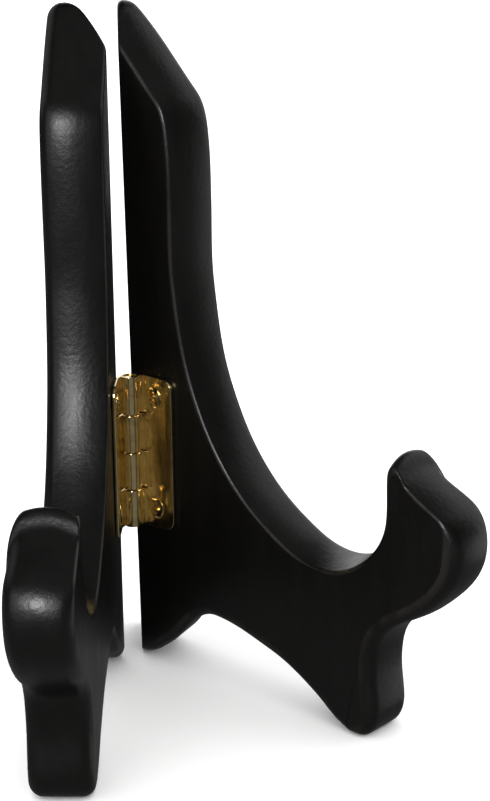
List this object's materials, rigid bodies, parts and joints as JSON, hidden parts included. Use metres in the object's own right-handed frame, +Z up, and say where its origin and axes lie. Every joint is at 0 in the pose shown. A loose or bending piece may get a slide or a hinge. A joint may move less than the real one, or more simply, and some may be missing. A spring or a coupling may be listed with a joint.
{
  "type": "photo album stand",
  "caption": "Folding easel of mirrored black wood sides with hooked cradles, joined by a brass butt hinge, that holds an album upright.",
  "frame": {"origin": "centre of the footprint, on the surface that the four feet stand on", "axes": "+Z up, -Y toward the hooks at the front, +X toward the stand's own left-to-right right side"},
  "size_m": [0.142, 0.1382, 0.2118],
  "materials": {
    "black_wood": "black satin lacquer over close-grained wood",
    "hinge_brass": "polished, lacquered",
    "screw_brass": "polished"
  },
  "bodies": {
    "left_side": {"left_panel": "black_wood", "left_hinge_leaf": "hinge_brass", "left_screw_upper": "screw_brass", "left_screw_lower": "screw_brass", "hinge_pin": "hinge_brass"},
    "right_side": {"right_panel": "black_wood", "right_hinge_leaf": "hinge_brass", "right_screw_upper": "screw_brass", "right_screw_lower": "screw_brass"}
  },
  "joints": [
    {"name": "hinge_fold", "type": "hinge", "parent": "left_side", "child": "right_side", "pos_m": [0, 0.03877, 0.073], "axis": [0, 0, 1], "range_deg": [-49.6, 27]}
  ]
}
